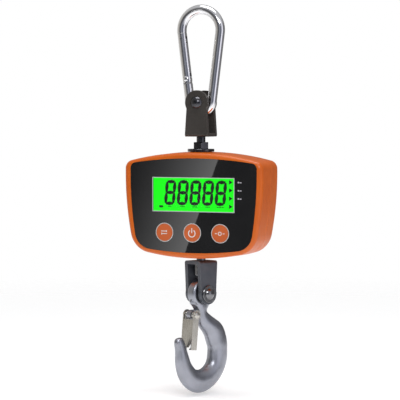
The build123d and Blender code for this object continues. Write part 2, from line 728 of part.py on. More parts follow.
def battery_tray():
    """An open box with a rib between the cells."""
    outer = block((-28.5, 28.5), (TRAY_Y, REAR_WALL_Y - 0.05), (BATTERY_Z - 19.4, BATTERY_Z + 19.4))
    inner_z = (BATTERY_Z - 18.0, BATTERY_Z + 18.0)
    tray = outer - block((-27.3, 27.3), (TRAY_Y + 1.2, REAR_WALL_Y + 1), inner_z)
    for side in (-1, 1):
        z = BATTERY_Z + side * BATTERY_PITCH / 2
        tray += block((-18, 18), (TRAY_Y + 1.0, TRAY_Y + 3.0), (z - 0.4, z + 0.4))
    return tray


def batteries():
    """Three AAA cells, each with its raised end cap, laid head to tail."""
    cells = []
    for place, z in enumerate(battery_places()):
        facing = 1 if place % 2 == 0 else -1
        body = rod_x(BATTERY_R, -BATTERY_LENGTH / 2, BATTERY_LENGTH / 2 - 0.8, 0, 0)
        body += rod_x(1.9, BATTERY_LENGTH / 2 - 1, BATTERY_LENGTH / 2, 0, 0)
        cells.append(Pos(0, BATTERY_Y, z) * Rot(0, 0, 0 if facing > 0 else 180) * body)
    return group(cells)


def battery_contacts():
    """Six flat contact plates at the ends of the tray."""
    plates = []
    for z in battery_places():
        plates.append(block((26.7, 27.25), (10.0, 18.0), (z - 4.0, z + 4.0)))
        plates.append(block((-27.25, -26.7), (10.0, 18.0), (z - 4.0, z + 4.0)))
    return group(plates)


def battery_springs():
    """A coil against the flat end of each cell."""
    springs = []
    for place, z in enumerate(battery_places()):
        facing = 1 if place % 2 == 0 else -1
        spring = Rot(0, 90, 0) * coil(2.8, 0.3, 1.0, 3.4)
        spring = Pos(-26.3, 0, 0) * spring
        springs.append(Pos(0, BATTERY_Y, z) * Rot(0, 0, 0 if facing > 0 else 180) * spring)
    return group(springs)


def battery_door():
    """The plug-in cover over the cells, with a finger notch and grip ribs."""
    half = DOOR_HALF - DOOR_GAP
    high = DOOR_HALF_HEIGHT - DOOR_GAP
    outline = Pos(0, BATTERY_Z) * RectangleRounded(2 * half, 2 * high, 2.3)
    door = side_slab(outline, BACK_Y - 1.6, BACK_Y)
    for step in range(5):
        z = BATTERY_Z + high - 5.0 - 1.8 * step
        door -= block((-9, 9), (BACK_Y - 0.5, BACK_Y + 1), (z - 0.4, z + 0.4))
    return door - rod_x(3.2, -6, 6, BACK_Y + 2.2, BATTERY_Z - high + 1.0)


# ---------------------------------------------------------------------------
# Hook and latch, drawn with the opening towards +X, then turned
# ---------------------------------------------------------------------------

def hook_loft():
    """The hook's body, through ellipses square to its centre line."""
    places = [Vector(row[0], 0, LOWER_PIN_Z - row[1]) for row in HOOK_SECTIONS]
    last = len(places) - 1
    sections = []
    for index, row in enumerate(HOOK_SECTIONS):
        along = (places[min(index + 1, last)] - places[max(index - 1, 0)]).normalized()
        across = Vector(0, 1, 0).cross(along)
        plane = Plane(origin=places[index], x_dir=across, z_dir=along)
        sections.append(plane * Ellipse(row[2] / 2, row[3] / 2))
    return loft(sections)


def hook():
    """Forged hook: an eye for the pin, a lug for the latch and the lofted body."""
    eye = rod_y(EYE_R, -EYE_HALF_THICK, EYE_HALF_THICK, 0, LOWER_PIN_Z)
    eye = fillet(eye.edges().filter_by(GeomType.CIRCLE), 2.6)
    pivot_x, pivot_z = LATCH_PIVOT
    web = ((0, pivot_z - 9), (pivot_x, pivot_z - 4.2), (pivot_x, pivot_z + 4.2), (0, pivot_z + 4.2))
    lug = Pos(pivot_x, pivot_z) * Circle(4.2) + Polygon(*web, align=None)
    body = hook_loft() + eye + side_slab(lug, -LUG_HALF, LUG_HALF)
    body -= rod_y(PIN_R + 0.1, -10, 10, 0, LOWER_PIN_Z)
    body -= rod_y(RIVET_R, -10, 10, pivot_x, pivot_z)
    return Rot(0, 0, HOOK_TURN) * body


def at_latch(part, tilt=LATCH_TILT):
    """Put a piece drawn about the latch's pivot into place."""
    pivot_x, pivot_z = LATCH_PIVOT
    return Rot(0, 0, HOOK_TURN) * Pos(pivot_x, 0, pivot_z) * Rot(0, tilt, 0) * part


def latch():
    """A sheet-metal channel: two flanges on the pivot and a web with a narrowed tongue."""
    back = LATCH_WEB_X - LATCH_DEEP
    flange = Circle(4.4) + Pos((LATCH_WEB_X + back) / 2, -LATCH_LONG / 2) * Rectangle(LATCH_DEEP, LATCH_LONG)
    body = side_slab(flange, -LATCH_HALF, LATCH_HALF)
    inside = LATCH_HALF - LATCH_SHEET
    body -= block((-9, LATCH_WEB_X - LATCH_SHEET), (-inside, inside), (-40, 9))
    body -= block((-9, 9), (-inside, inside), (-4.0, 9))
    for side in (-1, 1):
        taper = Plane.YZ * Polygon((side * 6.1, -24.0), (side * 2.6, -30.0), (side * 6.1, -30.0), align=None)
        body -= extrude(taper, amount=12, both=True) & block((-9, 9), (-inside, inside), (-40, 0))
    body -= block((-9, 9), (-4.5, 4.5), (-40, -29.4))
    body -= rod_y(RIVET_R + 0.06, -9, 9, 0, 0)
    return at_latch(body)


def latch_rivet():
    """The latch's pivot, headed outside both flanges."""
    rivet = rod_y(RIVET_R, -LATCH_HALF - 0.1, LATCH_HALF + 0.1, 0, 0)
    head = dome_head(3.2, 1.5, 0.4)
    rivet += Pos(0, -LATCH_HALF - 0.05, 0) * Rot(90, 0, 0) * head
    rivet += Pos(0, LATCH_HALF + 0.05, 0) * Rot(-90, 0, 0) * head
    return at_latch(rivet, 0)


def latch_spring():
    """A double torsion spring: a coil each side of the lug, with legs behind the latch's web."""
    mean_r = 2.6
    wire_r = 0.45
    springs = []
    for side in (-1, 1):
        winding = Rot(90, 0, 0) * coil(mean_r, wire_r, 1.1, 2.2)
        leg = rod_z(wire_r, -17.0, 0.0, mean_r, 0.0)
        rest = rod_z(wire_r, 0.0, 3.0, mean_r, -2.2)
        spring = winding + leg + rest
        if side > 0:
            spring = Pos(0, 5.3, 0) * spring
        else:
            spring = Pos(0, -5.3, 0) * mirror(spring, Plane.XZ)
        springs.append(spring)
    return group([at_latch(spring) for spring in springs])


# ---------------------------------------------------------------------------
# Every node, each written to its own file
# ---------------------------------------------------------------------------

NODES = {
    "ring_body": ring_body,
    "ring_gate": ring_gate,
    "gate_rivet": gate_rivet,
    "gate_nose_pin": gate_nose_pin,
    "gate_spring": gate_spring,
    "upper_clevis": upper_clevis,
    "upper_pin": upper_pin,
    "upper_pin_washer": upper_pin_washer,
    "upper_pin_clip": upper_pin_clip,
    "suspension_bolt": suspension_bolt,
    "top_nut": lambda: jam_nut(TOP_NUT_Z, TOP_NUT_HIGH),
    "top_washer": lambda: Pos(0, 0, TOP_WASHER_Z) * washer(12.0, BOLT_HOLE_R, TOP_WASHER_THICK),
    "front_shell": front_shell,
    "rear_shell": rear_shell,
    "housing_screws": housing_screws,
    "front_panel": front_panel,
    "display_window": display_window,
    "display_glass": display_glass,
    "display_backlight": display_backlight,
    "display_holder": display_holder,
    "contact_strips": contact_strips,
    "main_board": main_board,
    "board_screws": board_screws,
    "board_components": board_components,
    "push_switches": push_switches,
    "unit_key": lambda: key_cap(-1),
    "power_key": lambda: key_cap(0),
    "tare_key": lambda: key_cap(1),
    "unit_plunger": lambda: switch_plunger(-1),
    "power_plunger": lambda: switch_plunger(0),
    "tare_plunger": lambda: switch_plunger(1),
    "load_cell": load_cell,
    "cell_screws": cell_screws,
    "strain_gauges": strain_gauges,
    "gauge_covers": gauge_covers,
    "load_cell_lead": load_cell_lead,
    "battery_lead": battery_lead,
    "battery_tray": battery_tray,
    "batteries": batteries,
    "battery_contacts": battery_contacts,
    "battery_springs": battery_springs,
    "battery_door": battery_door,
    "lower_nut": lambda: jam_nut(LOWER_NUT_Z, LOWER_NUT_HIGH),
    "swivel_bolt": swivel_bolt,
    "thrust_washer": thrust_washer,
    "lower_clevis": lower_clevis,
    "lower_pin": lower_pin,
    "lower_pin_washer": lower_pin_washer,
    "hook": hook,
    "latch": latch,
    "latch_rivet": latch_rivet,
    "latch_spring": latch_spring,
}

for node_name, make in NODES.items():
    save(node_name, make())
print("nodes written:", len(NODES))
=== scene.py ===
# %% [markdown]
# # A hanging crane scale
#
# The scale hangs from a snap-gate ring. A black clevis joins the ring to an orange
# two-part case with a glossy black front, a lit display and three round keys. Below
# it a second clevis swivels and carries a forged hook with a sprung latch.
#
# The engineering model already holds every part at its real size and place. This
# lesson keeps those parts as they are, gives each one its finish, and models what is
# shown on the display and what is printed on the panel and the keys.

# %% Load the frame
import json
from math import cos, pi, radians, sin, sqrt

import bpy
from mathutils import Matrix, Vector


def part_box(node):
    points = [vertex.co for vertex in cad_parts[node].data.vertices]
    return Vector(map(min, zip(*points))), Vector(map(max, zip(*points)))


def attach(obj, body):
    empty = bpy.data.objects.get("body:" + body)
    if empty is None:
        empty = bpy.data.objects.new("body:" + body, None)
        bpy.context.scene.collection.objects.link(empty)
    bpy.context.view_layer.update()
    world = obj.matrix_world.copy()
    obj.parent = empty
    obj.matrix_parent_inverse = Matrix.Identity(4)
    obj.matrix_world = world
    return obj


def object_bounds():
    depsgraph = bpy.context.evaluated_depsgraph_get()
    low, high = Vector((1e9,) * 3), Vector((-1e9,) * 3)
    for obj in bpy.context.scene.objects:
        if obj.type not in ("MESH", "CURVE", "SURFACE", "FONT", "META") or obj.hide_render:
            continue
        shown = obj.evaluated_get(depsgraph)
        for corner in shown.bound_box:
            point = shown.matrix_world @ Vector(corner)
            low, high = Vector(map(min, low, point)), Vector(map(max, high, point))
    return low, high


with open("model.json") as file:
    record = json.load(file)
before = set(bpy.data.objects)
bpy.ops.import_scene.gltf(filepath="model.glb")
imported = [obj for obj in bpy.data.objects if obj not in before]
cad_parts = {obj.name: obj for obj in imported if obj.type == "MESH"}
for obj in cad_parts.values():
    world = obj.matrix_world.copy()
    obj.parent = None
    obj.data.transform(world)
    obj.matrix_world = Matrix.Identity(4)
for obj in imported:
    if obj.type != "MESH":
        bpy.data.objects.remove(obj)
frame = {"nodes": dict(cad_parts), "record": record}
CAD_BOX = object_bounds()
NODES = frame["nodes"]
print("loaded", len(NODES), "parts; model box", [round(v, 4) for v in (*CAD_BOX[0], *CAD_BOX[1])])

# %% [markdown]
# ## Camera
#
# A product shot with a long lens keeps upright lines upright. The camera stands a
# little to the right of the display and slightly above its middle, 1.7 m away, and
# looks at the load line. A long lens from far away was chosen over a short one near
# by, because it hardly changes the size of near and far parts.

# %% Camera
VIEW_TURN = radians(22.8)
VIEW_RISE = radians(2.75)
VIEW_DISTANCE = 1.70
AIM_LEFT = 0.0009
AIM_HEIGHT = -0.1667
LENS = 170.0
AIM = Vector((-AIM_LEFT * cos(VIEW_TURN), -AIM_LEFT * sin(VIEW_TURN), AIM_HEIGHT))
TOWARDS_CAMERA = Vector((
    sin(VIEW_TURN) * cos(VIEW_RISE),
    -cos(VIEW_TURN) * cos(VIEW_RISE),
    sin(VIEW_RISE),
))
camera_data = bpy.data.cameras.new("camera")
camera_data.sensor_width = 36.0
camera_data.lens = LENS
camera = bpy.data.objects.new("camera", camera_data)
bpy.context.scene.collection.objects.link(camera)
camera.location = AIM + TOWARDS_CAMERA * VIEW_DISTANCE
camera.rotation_euler = TOWARDS_CAMERA.to_track_quat("Z", "Y").to_euler()
bpy.context.scene.camera = camera
bpy.context.scene.view_settings.view_transform = "Standard"
print("camera at", [round(v, 3) for v in camera.location])

# %% [markdown]
# ## Helpers for modelling by hand
#
# Each new piece starts as a primitive and is shaped with the same operators that a
# person uses in the viewport. The imported parts are still selected, so everything
# is deselected first. A finished piece has its place in its own mesh, so its object
# ends at the origin, as the imported parts do.

# %% Modelling helpers
MM = 0.001


def start(adder, **settings):
    """Add one primitive with nothing else selected, and return it."""
    if bpy.context.object and bpy.context.object.mode != "OBJECT":
        bpy.ops.object.mode_set(mode="OBJECT")
    bpy.ops.object.select_all(action="DESELECT")
    adder(**settings)
    return bpy.context.object


def only(piece):
    """Select one piece and make it active."""
    bpy.ops.object.select_all(action="DESELECT")
    piece.select_set(True)
    bpy.context.view_layer.objects.active = piece
    return piece


def settle(piece):
    """Put the object's own place and turn into its mesh."""
    only(piece)
    bpy.ops.object.transform_apply(location=True, rotation=True, scale=True)
    return piece


def join(pieces, name):
    """Several meshes as one piece."""
    only(pieces[0])
    for piece in pieces[1:]:
        piece.select_set(True)
    bpy.ops.object.join()
    joined = bpy.context.object
    joined.name = name
    joined.data.name = name
    return joined


def choose_verts(piece, test):
    """In edit mode, select the vertices whose place passes the test."""
    bpy.ops.mesh.select_mode(type="VERT")
    bpy.ops.mesh.select_all(action="DESELECT")
    bpy.ops.object.mode_set(mode="OBJECT")
    for vert in piece.data.vertices:
        vert.select = test(vert.co)
    bpy.ops.object.mode_set(mode="EDIT")


def use_modifier(piece, kind, **settings):
    """Add a modifier and apply it at once."""
    only(piece)
    modifier = piece.modifiers.new(kind.lower(), kind)
    for key, value in settings.items():
        setattr(modifier, key, value)
    bpy.ops.object.modifier_apply(modifier=modifier.name)
    return piece


def thicken(thick):
    """In edit mode, give the flat shape its thickness towards -Y, then leave edit mode."""
    bpy.ops.mesh.select_all(action="SELECT")
    bpy.ops.mesh.extrude_region_move(TRANSFORM_OT_translate={"value": (0, -thick, 0)})
    bpy.ops.mesh.select_all(action="SELECT")
    bpy.ops.mesh.normals_make_consistent(inside=False)
    bpy.ops.object.mode_set(mode="OBJECT")


def place(piece, body, material):
    """Give a finished piece its body and its finish."""
    piece.data.materials.clear()
    piece.data.materials.append(material)
    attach(piece, body)
    print(piece.name, "has", len(piece.data.polygons), "faces and rides on", body)
    return piece


# %% [markdown]
# ## Finishes
#
# Every finish is built from the same three ideas. A broad noise shifts the colour a
# little, because no moulding or plating is perfectly even. A finer noise changes the
# roughness, which is what makes a highlight look real. A very fine one raises the
# surface, for the grain of a mould or the marks of a tool. The patterns are read in
# the object's own coordinates, so they stay put when a part moves.
#
# Paint and black oxide also rub off along sharp edges. The edges could be painted by
# hand, part by part, but a Bevel node finds them all: where a rounded normal turns
# away from the surface's own one there is an edge, and a noise breaks it into patches.

# %% Node helpers
def add_node(owner, kind, **settings):
    """One shader node, with its settings, in a material or a world."""
    node = owner.node_tree.nodes.new(kind)
    for key, value in settings.items():
        setattr(node, key, value)
    return node


def noise(material, scale, detail=3.0, stretch=None, distortion=0.0):
    """A noise pattern in object coordinates, stretched along an axis where asked."""
    links = material.node_tree.links
    coords = add_node(material, "ShaderNodeTexCoord")
    texture = add_node(material, "ShaderNodeTexNoise")
    texture.inputs["Scale"].default_value = scale
    texture.inputs["Detail"].default_value = detail
    texture.inputs["Distortion"].default_value = distortion
    source = coords.outputs["Object"]
    if stretch:
        mapping = add_node(material, "ShaderNodeMapping")
        mapping.inputs["Scale"].default_value = stretch
        links.new(source, mapping.inputs["Vector"])
        source = mapping.outputs["Vector"]
    links.new(source, texture.inputs["Vector"])
    return texture.outputs["Fac"]


def spread(material, value, low, high, start_at=0.3, end_at=0.7):
    """Map a noise value to a range."""
    node = add_node(material, "ShaderNodeMapRange")
    node.inputs["From Min"].default_value = start_at
    node.inputs["From Max"].default_value = end_at
    node.inputs["To Min"].default_value = low
    node.inputs["To Max"].default_value = high
    material.node_tree.links.new(value, node.inputs["Value"])
    return node.outputs["Result"]


def blend_colours(material, value, first, second):
    """A colour between two, by a value from 0 to 1."""
    node = add_node(material, "ShaderNodeMix", data_type="RGBA")
    node.inputs["A"].default_value = (*first, 1)
    node.inputs["B"].default_value = (*second, 1)
    links = material.node_tree.links
    links.new(value, node.inputs["Factor"])
    return node.outputs["Result"]


def raise_surface(material, height, depth, distance, under=None):
    """A bump from a height pattern."""
    node = add_node(material, "ShaderNodeBump")
    node.inputs["Strength"].default_value = depth
    node.inputs["Distance"].default_value = distance
    links = material.node_tree.links
    links.new(height, node.inputs["Height"])
    if under:
        links.new(under, node.inputs["Normal"])
    return node.outputs["Normal"]


def worn_edges(material, radius, amount):
    """A patchy mask that is high along sharp edges, where a finish rubs off first."""
    links = material.node_tree.links
    rounded = add_node(material, "ShaderNodeBevel", samples=6)
    rounded.inputs["Radius"].default_value = radius
    surface = add_node(material, "ShaderNodeNewGeometry")
    agree = add_node(material, "ShaderNodeVectorMath", operation="DOT_PRODUCT")
    links.new(rounded.outputs["Normal"], agree.inputs[0])
    links.new(surface.outputs["Normal"], agree.inputs[1])
    edges = spread(material, agree.outputs["Value"], amount, 0.0, 0.86, 0.99)
    patches = spread(material, noise(material, 240.0, 4.0), 0.25, 1.0, 0.35, 0.6)
    both = add_node(material, "ShaderNodeMath", operation="MULTIPLY")
    links.new(edges, both.inputs[0])
    links.new(patches, both.inputs[1])
    return both.outputs["Value"]


def rub_edges(material, shader, radius, amount, bare):
    """Show a barer colour along worn edges, over the colour already there."""
    links = material.node_tree.links
    painted = shader.inputs["Base Color"].links[0].from_socket
    node = add_node(material, "ShaderNodeMix", data_type="RGBA")
    node.inputs["B"].default_value = (*bare, 1)
    links.new(worn_edges(material, radius, amount), node.inputs["Factor"])
    links.new(painted, node.inputs["A"])
    links.new(node.outputs["Result"], shader.inputs["Base Color"])


def new_finish(name, metallic=0.0, **sockets):
    """A material whose constant values sit on the shader itself."""
    material = bpy.data.materials.new(name)
    material.use_nodes = True
    shader = material.node_tree.nodes["Principled BSDF"]
    shader.inputs["Metallic"].default_value = metallic
    for key, value in sockets.items():
        shader.inputs[key.replace("_", " ")].default_value = value
    return material, shader


# %% [markdown]
# ### Moulded plastic
#
# A moulded case has a fine spark-eroded grain, a little colour drift and a
# satin gloss that is worn smoother in places. The grain could be modelled, but at
# a tenth of a millimetre it would need millions of faces, so it is a bump.

# %% Moulded plastic
def moulded(name, colour, drift, rough, grain=5200.0, depth=0.25, gloss=0.45, bare=None):
    """Grained plastic: colour drifts from colour towards drift, and to bare on its edges."""
    material, shader = new_finish(name, **{"Specular_IOR_Level": gloss})
    links = material.node_tree.links
    patches = spread(material, noise(material, 38.0, 4.0), 0.0, 1.0)
    links.new(blend_colours(material, patches, colour, drift), shader.inputs["Base Color"])
    if bare:
        rub_edges(material, shader, 0.0005, 0.5, bare)
    worn = spread(material, noise(material, 160.0, 5.0), rough - 0.06, rough + 0.08)
    links.new(worn, shader.inputs["Roughness"])
    pores = raise_surface(material, noise(material, grain, 2.0), depth, 0.00006)
    waves = raise_surface(material, noise(material, 55.0, 1.0), 0.05, 0.0006, pores)
    links.new(waves, shader.inputs["Normal"])
    return material


ORANGE = moulded("orange_case", (0.59, 0.103, 0.002), (0.66, 0.126, 0.004), 0.36, bare=(0.74, 0.18, 0.02))
KEY_ORANGE = moulded("key_orange", (0.53, 0.102, 0.02), (0.59, 0.122, 0.028), 0.38, 3800.0, 0.15)
BLACK_PLASTIC = moulded("black_plastic", (0.018, 0.018, 0.019), (0.03, 0.03, 0.032), 0.5)
COMPONENTS = moulded("components", (0.03, 0.03, 0.032), (0.07, 0.07, 0.07), 0.45)
LEAD_JACKET = moulded("lead_jacket", (0.02, 0.02, 0.02), (0.035, 0.035, 0.035), 0.6)
BATTERY_SKIN = moulded("battery_skin", (0.05, 0.07, 0.22), (0.08, 0.10, 0.30), 0.3)
GAUGE_FOIL = moulded("gauge_foil", (0.55, 0.26, 0.05), (0.68, 0.36, 0.08), 0.35)
print("plastics:", ORANGE.name, KEY_ORANGE.name, BLACK_PLASTIC.name)

# %% [markdown]
# ### Metals
#
# Polished bar, forged steel, plating and black oxide differ in how rough they are
# and in which way their marks run. A drawn or turned bar has marks along one
# direction, so its noise is stretched. A tumbled forging has soft dents in all
# directions and a finer satin on top.

# %% Metals
def metal(name, colour, drift, rough, marks=(1, 1, 1), mark_scale=900.0, mark_depth=0.12,
          dent_scale=60.0, dent_depth=0.1, metallic=1.0, bare=None):
    """Metal with colour drift, directional fine marks, soft dents and worn edges."""
    material, shader = new_finish(name, metallic)
    links = material.node_tree.links
    clouds = spread(material, noise(material, 70.0, 5.0), 0.0, 1.0)
    links.new(blend_colours(material, clouds, colour, drift), shader.inputs["Base Color"])
    if bare:
        rub_edges(material, shader, 0.0004, 0.75, bare)
    streaks = noise(material, mark_scale, 4.0, marks)
    links.new(spread(material, streaks, rough * 0.75, rough * 1.35), shader.inputs["Roughness"])
    scratches = raise_surface(material, streaks, mark_depth, 0.00005)
    dents = raise_surface(material, noise(material, dent_scale, 2.0), dent_depth, 0.0008, scratches)
    links.new(dents, shader.inputs["Normal"])
    return material


RING_STEEL = metal("ring_steel", (0.80, 0.80, 0.81), (0.88, 0.88, 0.90), 0.12, (1, 1, 0.08), 1400.0)
SPRING_STEEL = metal("spring_steel", (0.62, 0.61, 0.58), (0.70, 0.69, 0.66), 0.24)
HOOK_STEEL = metal(
    "hook_steel", (0.29, 0.30, 0.335), (0.37, 0.38, 0.43), 0.33, (1, 1, 1), 2600.0, 0.35, 85.0, 0.22)
LATCH_STEEL = metal("latch_steel", (0.46, 0.44, 0.40), (0.55, 0.53, 0.49), 0.28, (1, 1, 0.1), 1800.0, 0.2)
SCREW_STEEL = metal("screw_steel", (0.5, 0.5, 0.48), (0.6, 0.6, 0.57), 0.3)
CELL_STEEL = metal("cell_steel", (0.48, 0.48, 0.47), (0.58, 0.58, 0.56), 0.3, (0.1, 1, 1), 1500.0)
BLACK_HARDWARE = metal(
    "black_hardware", (0.05, 0.05, 0.055), (0.10, 0.10, 0.11), 0.22, (1, 1, 1), 1500.0, 0.2,
    bare=(0.30, 0.30, 0.30))
UPPER_BRACKET = metal(
    "upper_bracket", (0.050, 0.044, 0.039), (0.063, 0.056, 0.050), 0.42, (1, 1, 0.2), 2400.0, 0.3,
    metallic=0.35, bare=(0.20, 0.19, 0.18))
LOWER_BRACKET = metal(
    "lower_bracket", (0.075, 0.082, 0.098), (0.10, 0.107, 0.125), 0.40, (1, 1, 0.2), 2400.0, 0.3,
    metallic=0.45, bare=(0.26, 0.26, 0.27))
PIN_STEEL = metal("pin_steel", (0.16, 0.16, 0.17), (0.24, 0.24, 0.25), 0.2)
print("metals:", RING_STEEL.name, HOOK_STEEL.name, LATCH_STEEL.name)

# %% [markdown]
# ### Panel, pane, display and circuit board
#
# The front sheet is black behind a hard clear gloss, so it mirrors the studio. The
# display is lit from behind: its green is light that it gives out, slightly patchy,
# as the light plate behind it is.

# %% Panel, pane, display and board
def glossy_black():
    """Black with a hard gloss, faint haze and hairline marks."""
    material, shader = new_finish("black_panel")
    links = material.node_tree.links
    tone = spread(material, noise(material, 30.0, 3.0), 0.0, 1.0)
    shade = blend_colours(material, tone, (0.0105, 0.0105, 0.011), (0.014, 0.014, 0.0145))
    links.new(shade, shader.inputs["Base Color"])
    haze = spread(material, noise(material, 260.0, 6.0, (1, 1, 0.3)), 0.004, 0.03)
    links.new(haze, shader.inputs["Roughness"])
    ripple = raise_surface(material, noise(material, 24.0, 1.0), 0.01, 0.0001)
    links.new(ripple, shader.inputs["Normal"])
    return material


def clear_pane():
    """Clear plastic, with faint haze."""
    material, shader = new_finish("clear_window", **{"Transmission_Weight": 1.0, "IOR": 1.06})
    shader.inputs["Base Color"].default_value = (0.97, 1.0, 0.98, 1)
    haze = spread(material, noise(material, 300.0, 4.0), 0.0, 0.004)
    material.node_tree.links.new(haze, shader.inputs["Roughness"])
    return material


def lit_display():
    """Green light through the display, slightly patchy."""
    material, shader = new_finish("display_green", **{"Emission_Strength": 1.0})
    links = material.node_tree.links
    even = spread(material, noise(material, 18.0, 2.0), 0.0, 1.0)
    glow = blend_colours(material, even, (0.002, 0.88, 0.002), (0.004, 1.0, 0.004))
    links.new(glow, shader.inputs["Emission Color"])
    shader.inputs["Base Color"].default_value = (0.002, 0.06, 0.002, 1)
    mesh = spread(material, noise(material, 1500.0, 2.0), 0.25, 0.4)
    links.new(mesh, shader.inputs["Roughness"])
    return material


def solder_mask():
    """Green board lacquer with faint copper tracks under it."""
    material, shader = new_finish("circuit_board")
    links = material.node_tree.links
    tracks = spread(material, noise(material, 420.0, 0.0, (1, 1, 0.15)), 0.0, 1.0, 0.48, 0.54)
    shade = blend_colours(material, tracks, (0.012, 0.10, 0.03), (0.02, 0.16, 0.05))
    links.new(shade, shader.inputs["Base Color"])
    links.new(spread(material, noise(material, 200.0), 0.22, 0.34), shader.inputs["Roughness"])
    return material


def printed(name, colour, rough=0.45):
    """Screen-printed ink: nearly flat colour with a slightly broken surface."""
    material, shader = new_finish(name)
    links = material.node_tree.links
    ink = spread(material, noise(material, 900.0, 3.0), 0.0, 1.0)
    dimmer = tuple(channel * 0.88 for channel in colour)
    links.new(blend_colours(material, ink, dimmer, colour), shader.inputs["Base Color"])
    dull = spread(material, noise(material, 1400.0), rough - 0.08, rough + 0.08)
    links.new(dull, shader.inputs["Roughness"])
    return material


BLACK_PANEL = glossy_black()
CLEAR_WINDOW = clear_pane()
DISPLAY_GREEN = lit_display()
CIRCUIT_BOARD = solder_mask()
WHITE_INK = printed("white_ink", (0.80, 0.80, 0.78))
PALE_INK = printed("pale_ink", (0.52, 0.50, 0.54))
SEGMENT_INK = printed("segment_ink", (0.008, 0.0, 0.012), 0.6)
print("panel finishes:", BLACK_PANEL.name, DISPLAY_GREEN.name)

# %% [markdown]
# ### Dress the imported parts
#
# The record names a slot for each part. One table joins each slot to its finish, so
# a part that is added later to one of these slots takes its look without a new line.

# %% Dress the imported parts
FINISH_OF_SLOT = {
    "ring_steel": RING_STEEL, "spring_steel": SPRING_STEEL, "upper_bracket": UPPER_BRACKET,
    "black_hardware": BLACK_HARDWARE, "orange_case": ORANGE, "black_panel": BLACK_PANEL,
    "clear_window": CLEAR_WINDOW, "display_green": DISPLAY_GREEN, "black_plastic": BLACK_PLASTIC,
    "key_orange": KEY_ORANGE, "circuit_board": CIRCUIT_BOARD, "components": COMPONENTS,
    "screw_steel": SCREW_STEEL, "cell_steel": CELL_STEEL, "gauge_foil": GAUGE_FOIL,
    "lead_jacket": LEAD_JACKET, "battery_skin": BATTERY_SKIN, "lower_bracket": LOWER_BRACKET,
    "pin_steel": PIN_STEEL, "hook_steel": HOOK_STEEL, "latch_steel": LATCH_STEEL,
}
for part in frame["record"]["subparts"]:
    node = NODES[part["node"]]
    node.data.materials.clear()
    node.data.materials.append(FINISH_OF_SLOT[part["material_slot"]])

# %% [markdown]
# ## Display
#
# The display shows five slanted figures, four pointers and a row of small marks. In
# a real display they are etched into the glass. Here each bar of a figure is one
# thin six-sided tile: a six-sided disc whose middle four corners are moved apart,
# then extruded. One tile is made, copied and turned for every bar, which is quicker
# and more even than drawing each one.

# %% Display figures
PANE_LOW, PANE_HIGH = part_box("display_window")
GLASS_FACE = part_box("display_glass")[0].y
INK_THICK = 0.05 * MM
DIGIT_HIGH = 22.4 * MM
DIGIT_WIDE = 10.5 * MM
DIGIT_PITCH = 12.2 * MM
DIGIT_SLANT = 0.085
BAR_WIDE = 3.0 * MM
BAR_GAP = 0.35 * MM
FIRST_DIGIT_X = -21.9 * MM
DIGIT_MIDDLE_Z = PANE_HIGH.z - 13.2 * MM


def bar_tile(length):
    """A thin pointed bar along X that faces -Y, centred on the origin."""
    corner = BAR_WIDE / sqrt(3)
    tile = settle(start(bpy.ops.mesh.primitive_circle_add, vertices=6, radius=corner, fill_type="NGON",
                        rotation=(pi / 2, 0, pi)))
    bpy.ops.object.mode_set(mode="EDIT")
    widest = max(vert.co.x for vert in tile.data.vertices)
    for side in (-1, 1):
        choose_verts(tile, lambda co: co.x * side > widest * 0.1)
        bpy.ops.transform.translate(value=(side * (length / 2 - widest), 0, 0))
    thicken(INK_THICK)
    return tile


def copy_of(piece, location=(0, 0, 0), turn=0.0):
    """A copy with its own mesh, turned in the display's plane and then moved."""
    twin = piece.copy()
    twin.data = piece.data.copy()
    bpy.context.scene.collection.objects.link(twin)
    twin.rotation_euler = (0, turn, 0)
    twin.location = location
    return settle(twin)


def figure_eight(tile_flat, tile_upright):
    """Seven tiles in the shape of a figure, centred on the origin."""
    half_w = (DIGIT_WIDE - BAR_WIDE) / 2
    half_h = (DIGIT_HIGH - BAR_WIDE) / 2
    tiles = [copy_of(tile_flat, (0, 0, level * half_h)) for level in (-1, 0, 1)]
    for side in (-1, 1):
        for level in (-1, 1):
            tiles.append(copy_of(tile_upright, (side * half_w, 0, level * half_h / 2), pi / 2))
    return join(tiles, "figure")


def slant(piece, amount):
    """Lean a piece to the right, each point in proportion to its height."""
    for vert in piece.data.vertices:
        vert.co.x += amount * vert.co.z


flat_tile = bar_tile(DIGIT_WIDE - BAR_WIDE - BAR_GAP)
upright_tile = bar_tile((DIGIT_HIGH - BAR_WIDE) / 2 - BAR_GAP)
figure = figure_eight(flat_tile, upright_tile)
slant(figure, DIGIT_SLANT)
figures = []
for index in range(5):
    spot = (FIRST_DIGIT_X + index * DIGIT_PITCH, GLASS_FACE, DIGIT_MIDDLE_Z)
    figures.append(copy_of(figure, spot))
for spare in (flat_tile, upright_tile, figure):
    bpy.data.objects.remove(spare)
digits = join(figures, "display_digits")
place(digits, "scale_head", SEGMENT_INK)

# %% [markdown]
# The pointers are three-sided discs. The small marks under the figures stand for
# the display's battery, zero and hold signs: a small cell and plain bars.

# %% Display pointers and marks
POINTER_X = 35.9 * MM
POINTER_TOP_Z = PANE_HIGH.z - 3.3 * MM
POINTER_PITCH = 7.2 * MM
POINTER_RADIUS = 2.25 * MM


def triangle(radius, thick, facing, location):
    """A three-sided tile that points to the right (1) or to the left (-1)."""
    tile = start(bpy.ops.mesh.primitive_circle_add, vertices=3, radius=radius, fill_type="NGON",
                 rotation=(pi / 2, facing * pi / 2, 0))
    bpy.ops.object.mode_set(mode="EDIT")
    thicken(thick)
    settle(tile)
    tile.location = location
    return settle(tile)


